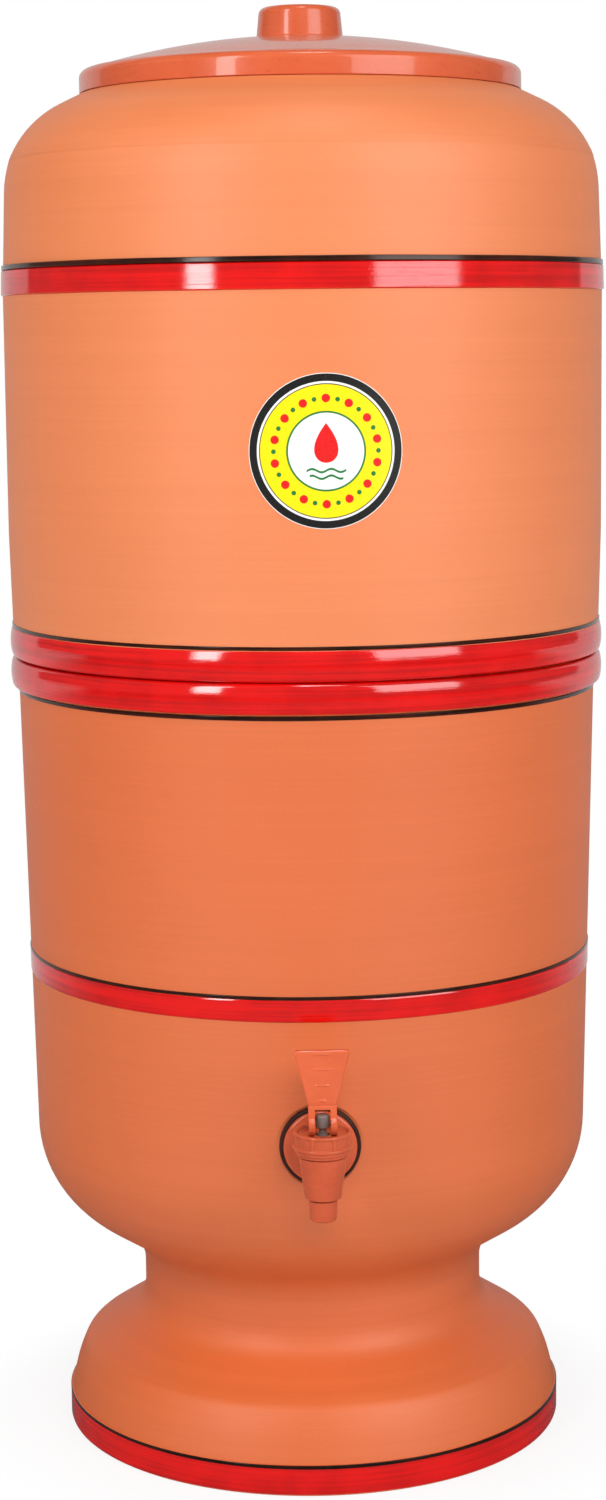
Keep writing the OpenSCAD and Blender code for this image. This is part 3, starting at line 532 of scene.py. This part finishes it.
lid_r, lid_low, lid_top, crown, knob_top = 87.6, 542.6, 551.5, 564.1, 576.7
dome_edge, dome_h = 85, crown - lid_top
dome_r = (dome_edge ** 2 + dome_h ** 2) / (2 * dome_h)


def dome(r_from, r_to, below=0.0, count=24):
    """Corners along the dome, a sphere round the axis, or at a depth below it."""
    r = np.linspace(r_from, r_to, count)
    return [(x, crown - dome_r + math.sqrt(dome_r ** 2 - x * x) - below, 0) for x in r]


# From the knob's inside down to the ring, the foot and the rim, then back over the dome.
skin_t, rim_in, knob_r, knob_in = 2.0, 85.6, 16.0, 13.9
ring_in, ring_out, ring_low = 68.5, 70.5, 525
rest_in, rest_out, gate_r, gate_foot_r = 77.6, 79.4, 2.9, 3.2
lid_corners = (
    [(0, knob_top - 2.6, 0), (knob_in, knob_top - 2.9, 1.6), (15.2, crown - 2.4, 0.8)]
    + dome(18.5, ring_in, skin_t) + [(ring_in, ring_low, 0.5), (ring_out, ring_low, 0.5)]
    + dome(ring_out, rest_in, skin_t, 4)
    + [(rest_in, mouth_z, 0.5), (rest_out, mouth_z, 0.5), (rest_out, 550.8, 0.5),
       (rim_in, 549.3, 0.5), (rim_in, 543.4, 0.3), (lid_r, lid_low, 0.3),
       (lid_r, lid_top, 3.2)]
    + dome(82, 19.2) + [(17.2, crown - 0.4, 0.8), (knob_r, knob_top - 0.9, 2.8),
                        (gate_foot_r, knob_top - 0.4, 0.3), (gate_r, knob_top, 0.3),
                        (0, knob_top, 0)])
lid = skin("plastic_lid", turned(rounded(lid_corners, step=6)))


def moulded(name, dark, light, gloss=0.22, orange_peel=0.25):
    """Terracotta-coloured plastic: even colour with a faint cloud, a gloss that is a
    little uneven, and the slight ripple of a moulded skin."""
    made, place, feed = principled(name, IOR=1.46, Coat_Weight=0.6, Coat_Roughness=0.06)
    cloud = place.noise(40, 3, 0.5)
    ripple = place.noise(260, 2, 0.4)
    scuff = place.stretched(1, 1, 3).noise(180, 5, 0.7)
    feed(Base_Color=(cloud * 0.7 + scuff * 0.3).smooth(0.3, 0.7).tint(dark, light),
         Roughness=gloss + scuff * 0.14, height=ripple, depth=0.0001, strength=orange_peel)
    return made


lid_plastic = moulded("lid_plastic", (0.60, 0.100, 0.031), (0.66, 0.121, 0.041),
                      orange_peel=0.1)
dress(lid, "lid_body", lid_plastic, "lid_plastic", "lid")


# ---------------------------------------------------------------- label
# A round vinyl sticker pressed onto the curve of the upper wall. It is cut with a thin
# white margin and printed with a red drop over two waves, in a ring of dots.

label_r, label_z, label_turn = 28.3, 406.0, 2.18


def label_shell():
    """Disc wrapped on the wall: the point (r, a) lies r sin a above the label's centre
    and r cos a to its right, measured along the wall. The attribute flat keeps that
    place for the print."""
    under, over, around = 16, 60, 192
    back_out, edge_out, face_out = -0.08, 0.06, 0.16
    r = np.r_[np.linspace(0, label_r, under), label_r, np.linspace(label_r, 0, over)]
    out = np.r_[np.full(under, back_out), edge_out, np.full(over, face_out)]
    a = angles(around)
    across, up = r[:, None] * np.cos(a), r[:, None] * np.sin(a)
    side = rounded([(bead_top_r, lower_h + bead_h, 0), (wall_r, 370, 200), (wall_r, 464, 0)])
    clay_r = np.interp(up + label_z, side[:, 1], side[:, 0])
    way = across / clay_r + math.radians(label_turn)
    face_r = clay_r + out[:, None]
    made = skin("round_label", np.stack([
        face_r * np.sin(way), -face_r * np.cos(way), up + label_z], -1) * MM)
    flat = np.stack([across, up, 0 * up], -1)
    pole = r < 1e-9
    keep = ~(pole[:, None] & (np.arange(around) > 0))
    store = made.data.attributes.new("flat", "FLOAT_VECTOR", "POINT")
    store.data.foreach_set("vector", flat[keep].ravel())
    return made


def label_print():
    """Printed vinyl: every edge of the print is drawn from the distance to it."""
    made, place, feed = principled("label_print", IOR=1.5, Coat_Weight=0.4,
                                   Coat_Roughness=0.12)
    x, y, _ = place.node("Attribute", {"attribute_name": "flat"}, out=1).axes()
    r, turn = (x * x + y * y).math("SQRT"), y.math("ARCTAN2", x)
    black, white, red = (0.012, 0.012, 0.012), (0.86, 0.86, 0.84), (0.72, 0.012, 0.012)
    yellow, green = (0.93, 0.72, 0.004), (0.01, 0.19, 0.04)
    blur = 0.07
    inside = lambda d: 1 - d.smooth(-blur, blur)
    colour = (r * 0).tint(white, white)
    for edge, ink in ((28.05, black), (25.3, white), (24.5, black), (24.15, yellow)):
        colour = inside(r - edge).tint(colour, ink)
    dots, ring_r = 14, 19.2
    for phase, size, ink in ((0.0, 1.55, red), (0.5, 0.85, green)):
        step = (turn * (dots / (2 * math.pi)) + (dots + phase)).math("FRACT") - 0.5
        along = step * (2 * math.pi / dots * ring_r)
        dot = (along * along + (r - ring_r) * (r - ring_r)).math("SQRT") - size
        colour = inside(dot).tint(colour, ink)
    for edge, ink in ((14.6, green), (13.9, white)):
        colour = inside(r - edge).tint(colour, ink)
    drop_foot, drop_h, drop_w = 4.2, 14.4, 11.5
    share = ((y + drop_foot) / drop_h).clamped()
    drop = x.math("ABSOLUTE") - share.math("SQRT") * (1 - share) * drop_w
    colour = inside(drop.math("MAXIMUM", y * -1 - drop_foot)).tint(colour, red)
    wave_rate, wave_h, half_line = 0.9, 0.6, 0.42
    for low, half_length in ((-7.0, 7.25), (-9.4, 6.17)):
        crest = (x * wave_rate).math("SINE") * wave_h + low
        wave = (y - crest).math("ABSOLUTE") - half_line
        wave = wave.math("MAXIMUM", x.math("ABSOLUTE") - half_length)
        colour = inside(wave).tint(colour, green)
    grain = place.noise(1100, 2, 0.5)
    clay_under = place.stretched(5, 5, 400).noise(1.0, 4, 0.6)
    feed(Base_Color=colour, Roughness=0.24 + grain * 0.1, height=clay_under, depth=0.00004,
         strength=0.25)
    return made


dress(label_shell(), "upper", label_print(), "clay")


# ---------------------------------------------------------------- tap body and washers
# A stock lever tap moulded in terracotta-coloured plastic. Its threaded shank passes
# through the wall between two rubber washers, and a nut inside pulls it tight.

tap_y, flange_back, shank_end = 141.434, 115.034, 89.834
shank_r, bar_r, flange_r, inlet_r = 8.0, 6.4, 14, 4.6
nozzle_low, seat_z, cone_low, cone_top = -20.4, -8.4, -11.6, 4.8
nozzle_r, cone_low_r, cone_top_r, bore_r, chamber_r = 5.0, 6.8, 8.95, 3.4, 6.0
low_groove_r, top_groove_r = 4.8, 8.4
collar_top, barrel_top, collar_r, rim_r, cap_r = 7.3, 10.3, 10.55, 8.2, 10.9


def at_tap(grid):
    """Moves a grid that was made round the barrel's axis to the tap."""
    return grid + np.array([0, -tap_y, tap_z]) * MM


def thread(outer, depth, pitch, start, end, around=96):
    """Closed rod along the axis with a rounded screw thread: its radius falls by depth
    between the crests, which climb one pitch for each turn. It fades at both ends."""
    a, per_turn, flank, crest, chamfer, chamfer_h = angles(around), 14, 3.2, 0.35, 0.5, 0.8
    z = np.linspace(start, end, int((end - start) / pitch * per_turn))
    z = np.r_[start, z, end][:, None]
    wave = (z / pitch - a / (2 * np.pi)) % 1
    groove = depth * np.clip(np.abs(wave - 0.5) * flank - crest, 0, 1)
    fade = np.clip(np.minimum(z - start, end - z) / pitch, 0, 1)
    r = outer - groove * fade - chamfer * (1 - np.clip((z - start) / chamfer_h, 0, 1))
    r[[0, -1]] = 0
    return np.stack([r * np.cos(a), r * np.sin(a), z + 0 * a], -1) * MM


shank = skin("tap_plastic_body",
             to_front(thread(shank_r, 0.75, 1.8, shank_end, flange_back + 1), tap_z))
# The flange and the bar, which reaches to the barrel.
flange = rounded([(0, 0, 0), (flange_r, 0, 0.5), (flange_r, 1.7, 1.3), (8.4, 2.4, 1.0),
                  (bar_r, 4.4, 1.8), (bar_r, 26.2, 0), (0, 26.2, 0)], step=9)
flange[:, 1] += flange_back
# The barrel: nozzle, cone and collar, with a groove below the cone and one above it.
barrel = rounded([(0, nozzle_low, 0), (nozzle_r, nozzle_low, 1.3), (5.4, cone_low - 0.8, 0.2),
                  (low_groove_r, cone_low - 0.6, 0.1), (low_groove_r, cone_low + 0.1, 0.1),
                  (cone_low_r, cone_low, 0.35), (cone_top_r, cone_top - 0.6, 0.1),
                  (top_groove_r, cone_top - 0.5, 0.1), (top_groove_r, cone_top, 0.1),
                  (9.7, cone_top, 0.3),
                  (9.9, cone_top + 1.2, 0.15), (collar_r, cone_top + 1.3, 0.3),
                  (collar_r, collar_top, 0.3), (rim_r, collar_top, 0.2),
                  (rim_r, barrel_top, 0.3), (0, barrel_top, 0)], step=12)
bore = rounded([(0, nozzle_low - 1, 0), (bore_r, nozzle_low - 1, 0), (bore_r, seat_z, 0.3),
                (chamber_r, seat_z, 0), (chamber_r, barrel_top + 1, 0),
                (0, barrel_top + 1, 0)], step=12)
inlet = rounded([(0, shank_end - 1, 0), (inlet_r, shank_end - 1, 0), (inlet_r, tap_y, 0),
                 (0, tap_y, 0)])
carved(shank, skin("flange", to_front(turned(flange, 128), tap_z)), "UNION")
carved(shank, skin("barrel", at_tap(turned(barrel, 128))), "UNION")
carved(shank, skin("bore", at_tap(turned(bore, 96))))
carved(shank, skin("inlet", to_front(turned(inlet, 96), tap_z)))

tap_plastic = moulded("tap_plastic", (0.50, 0.080, 0.030), (0.60, 0.108, 0.042), 0.10)
dress(shank, "base", tap_plastic, "tap_plastic", "tap_body")


def repaint(material, *names):
    """Gives CAD nodes whose shape is right their material."""
    for name in names:
        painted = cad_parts[name].data.materials
        painted.clear()
        painted.append(material)


def soft_rubber(name, dark, light, rough):
    """Rubber with a dull bloom and a fine pitted skin."""
    made, place, feed = principled(name, Specular_IOR_Level=0.3)
    bloom = place.noise(90, 4, 0.6)
    pits = place.noise(1500, 2, 0.5)
    feed(Base_Color=bloom.smooth(0.35, 0.7).tint(dark, light), Roughness=rough + bloom * 0.2,
         height=pits, depth=0.00005, strength=0.3)
    return made


black_rubber = soft_rubber("black_rubber", (0.022, 0.006, 0.004), (0.055, 0.016, 0.010), 0.45)
repaint(tap_plastic, "tap_back_nut")
repaint(black_rubber, "tap_outer_washer", "tap_inner_washer")


# ---------------------------------------------------------------- tap cap and valve
# The cap screws onto the barrel. Between its two rims are eight ribs for the fingers.
# Its dished top is open for the valve's stem, which is grey silicone.

cap_low, cap_top, dish_z = collar_top, 13.7, 12.5
cap_under, stem_way, cap_in, recess_r, skirt_r = 11.3, 2.7, 8.3, cap_r - 0.6, cap_r + 0.3
cap_outline = rounded([
    (stem_way, cap_under, 0.3), (cap_in, cap_under, 0), (cap_in, cap_low, 0),
    (skirt_r, cap_low, 0.5), (skirt_r, cap_low + 1.25, 0.4), (recess_r, cap_low + 1.5, 0.25),
    (recess_r, cap_top - 1.3, 0.25), (cap_r, cap_top - 1.0, 0.3), (cap_r, cap_top, 0.5),
    (cap_r - 1.4, cap_top, 0.5), (cap_r - 1.9, dish_z, 0.7), (stem_way, dish_z, 0.3)],
    step=14, longest=0.35, closed=True)


def ribbed(outline, ribs, around=320):
    """The cap's grid. Its recess is filled out to a rib every 360 / ribs degrees, with
    sides that rise over a third of a rib's width."""
    a, half_rib, flank = angles(around), 0.85, 0.3
    off = np.abs((a * ribs / (2 * np.pi)) % 1 - 0.5) * 2 * np.pi / ribs * cap_r
    rise = np.clip((half_rib - off) / flank, 0, 1)
    rise = rise * rise * (3 - 2 * rise)
    r, z = outline[:, :1] + 0 * a, outline[:, 1:]
    recess = (r > cap_r - 1) & (z > cap_low + 0.9) & (z < cap_top - 0.7)
    r = np.where(recess, np.maximum(r, r + (cap_r - 0.05 - r) * rise), r)
    return np.stack([r * np.cos(a), r * np.sin(a), z + 0 * a], -1) * MM


cap = skin("tap_plastic_cap", at_tap(ribbed(cap_outline, 8)), loop=True)
dress(cap, "base", tap_plastic, "tap_plastic", "tap_cap")

silicone = soft_rubber("grey_silicone", (0.17, 0.13, 0.115), (0.25, 0.205, 0.185), 0.35)
repaint(silicone, "valve_stem", "valve_skirt")


def drawn_steel(name):
    """Steel wire with fine drawing lines along it."""
    made, place, feed = principled(name, Metallic=1.0)
    lines = place.stretched(4, 900, 900).noise(1.0, 3, 0.6)
    feed(Base_Color=lines.tint((0.42, 0.42, 0.43), (0.62, 0.62, 0.63)),
         Roughness=0.22 + lines * 0.2, height=lines, depth=0.00002, strength=0.3)
    return made


steel = drawn_steel("drawn_steel")
repaint(steel, "lever_pin")


# ---------------------------------------------------------------- tap lever
# Two legs with cam feet straddle the stem's head, and a fan-shaped paddle for the
# finger rises from them. The paddle has bevelled sides and four shallow finger marks.

pin_z, leg_top, leg_back, leg_front, fork_w, fork_gap = 16.5, 7.0, 2.2, -2.0, 10.5, 5.8
fan_h, fan_w, fan_t, root_h = 20.3, 20.4, 3.0, 1.6
cam_reach, cam_rate, cam_span = 3.92, 2.6 / 70, 82


def at_pin(x, y, z):
    """A grid in mm about the lever's pin, moved to the tap."""
    return np.stack(np.broadcast_arrays(x, y - tap_y, z + pin_z + tap_z), -1) * MM


def plate(name, side, low, high, bevel=0.25):
    """A plate between x = low and high from its side view (y, z), with bevelled rims:
    the first and last rows shrink the side view evenly towards its middle."""
    middle = side.mean(0)
    size = np.hypot(*(side - middle).T).mean()
    x = np.array([low, low, low + bevel, high - bevel, high, high])[:, None]
    share = np.array([0, 1 - bevel / size, 1, 1, 1 - bevel / size, 0])[:, None]
    y, z = (middle[i] + share * (side[:, i] - middle[i]) for i in (0, 1))
    return skin(name, at_pin(x, y, z))


def leg_side():
    """Side view of a leg. Its foot is a cam, the involute of a small circle: its reach
    below the pin grows evenly with the tilt, from cam_reach by cam_rate a degree."""
    tilt = np.arange(0, cam_span, 2.0)
    a, reach, k = np.radians(tilt), cam_reach + cam_rate * tilt, math.degrees(cam_rate)
    foot = np.stack([-reach * np.sin(a) - k * np.cos(a), -reach * np.cos(a) + k * np.sin(a)], 1)
    rest = rounded([(leg_front - 0.8, 2.5, 0), (leg_front, leg_top, 0.5),
                    (leg_back, leg_top, 0.3), (leg_back, 1 - cam_reach, 0.4),
                    (leg_back - 1, -cam_reach, 0)], step=15)
    return np.r_[foot, rest][::-1]


def paddle():
    """The fan: at the height z its half width is w(z). Round each row run the front face
    with its bevels, the right side, the back and the left side. Each finger mark is a
    lens that swells the front gently from above and ends in a sharp lower edge."""
    low, narrow, wide = -1.2, fork_w / 2, fan_w / 2
    z = np.r_[low, np.linspace(low, fan_h, 84), fan_h][:, None]
    w = np.interp(z, [low, 0.4, 1.4, fan_h - 1.4, fan_h - 0.4, fan_h],
                  [narrow, narrow, narrow + 0.35, wide, wide - 0.15, wide - 0.8])
    top = np.clip((z - fan_h + 0.9) / 0.9, 0, 1)
    front = leg_back - fan_t + 0.025 * z + 0.5 * top ** 3
    back = leg_back - 0.5 * top ** 3 + 0 * z
    bevel = np.array([0.75, 0.35, 0.0])
    flat_x = np.linspace(-1, 1, 45) * (w - bevel[0])
    swell, proud, sag, edge, fall = 0, 0.5, 0.35, 0.22, 1.5
    for height, half in ((1.4, 1.5), (7.3, 2.45), (13.3, 3.3), (19.0, 3.6)):
        lens = np.sqrt(np.clip(1 - (flat_x / half) ** 2, 0, 1))
        up = z - height + sag * lens
        fade = np.clip(1 - up / (fall * lens + 0.01), 0, 1)
        swell = swell + proud * np.clip(up / edge, 0, 1) * fade
    slope, side = np.array([0.12, 0.55]), np.hstack([front + 1.0, back - 0.3])
    loops_x = [flat_x, w - bevel[1:], w + 0 * bevel[:2], (w - 0.3) * np.linspace(1, -1, 9),
               -w + 0 * bevel[:2], -w + bevel[:0:-1]]
    loops_y = [front - swell, front + slope, side, back + np.zeros(9), side[:, ::-1],
               front + slope[::-1]]
    x, y = (np.hstack([np.broadcast_to(v, (len(z), v.shape[1])) for v in loops])
            for loops in (loops_x, loops_y))
    x[[0, -1]], y[[0, -1]] = 0, leg_back - fan_t / 2
    return skin("plastic_lever", at_pin(x, y, z + leg_top))


lever = paddle()
for x in (-fork_w / 2, fork_gap / 2):
    carved(lever, plate("leg", leg_side(), x, x + (fork_w - fork_gap) / 2), "UNION")
root = rounded([(leg_back - 4.3, leg_top - root_h, 0.3), (leg_back, leg_top - root_h, 0.3),
                (leg_back, leg_top, 0.3), (leg_front, leg_top, 0.4)], step=15, closed=True)
carved(lever, plate("root", root, -fork_w / 2, fork_w / 2), "UNION")
pin_hole_r, past_fork, a = 0.95, 8, angles(48)
pin_hole = pin_hole_r * np.stack([np.cos(a), np.sin(a)], 1)
carved(lever, plate("pin_hole", pin_hole, -past_fork, past_fork, 0.01))

lever_plastic = moulded("lever_plastic", (0.60, 0.104, 0.036), (0.70, 0.130, 0.046), 0.13)
dress(lever, "lever", lever_plastic, "tap_plastic", "tap_lever")


# ---------------------------------------------------------------- filter candles
# Two candles stand on the upper floor: a fired ceramic dome over a carbon core, cemented
# into a plastic base whose stem passes through the floor to a wing nut.

def fired_white():
    """Porous white ceramic: chalky, with fine pores and faint tidal lines of silt."""
    made, place, feed = principled("fired_white")
    pores = place.noise(1400, 2, 0.6)
    mottle = place.noise(60, 4, 0.55)
    tide = place.stretched(4, 4, 90).noise(1.0, 3, 0.6)
    feed(Base_Color=(mottle * 0.5 + tide * 0.5).smooth(0.35, 0.75).tint(
        (0.70, 0.64, 0.54), (0.86, 0.83, 0.77)), Roughness=0.8 + pores * 0.15,
        height=pores * 0.6 + mottle * 0.4, depth=0.0001, strength=0.4)
    return made


def pressed_carbon():
    """Pressed charcoal: black with a faint sparkle of grains."""
    made, place, feed = principled("pressed_carbon")
    grains = place.noise(700, 4, 0.7)
    feed(Base_Color=grains.smooth(0.4, 0.75).tint((0.006, 0.006, 0.006), (0.05, 0.05, 0.05)),
         Roughness=0.65 + grains * 0.25, height=grains, depth=0.0002, strength=0.5)
    return made


def white_moulding():
    """White food-grade plastic, a little cloudy, with the sheen of a polished mould."""
    made, place, feed = principled("white_moulding", IOR=1.46)
    cloud = place.noise(35, 3, 0.5)
    scuff = place.noise(420, 4, 0.7)
    feed(Base_Color=cloud.smooth(0.3, 0.7).tint((0.74, 0.73, 0.68), (0.84, 0.84, 0.80)),
         Roughness=0.32 + scuff * 0.2, height=scuff, depth=0.00005, strength=0.25)
    return made


white_plastic = white_moulding()
repaint(fired_white(), "left_candle_dome", "right_candle_dome")
repaint(pressed_carbon(), "left_candle_core", "right_candle_core")
repaint(white_plastic, "left_candle_base", "right_candle_base", "left_wing_nut",
        "right_wing_nut")
repaint(black_rubber, "left_candle_washer", "right_candle_washer")


# ---------------------------------------------------------------- float valves
# A housing is pushed onto each stem below the floor. A float on a pinned arm closes its
# spout with a rubber pad when the lower vessel is full.

repaint(white_plastic, "left_float_housing", "right_float_housing", "left_float_arm",
        "right_float_arm", "left_float", "right_float")
repaint(steel, "left_float_pin", "right_float_pin")
repaint(black_rubber, "left_float_pad", "right_float_pad")
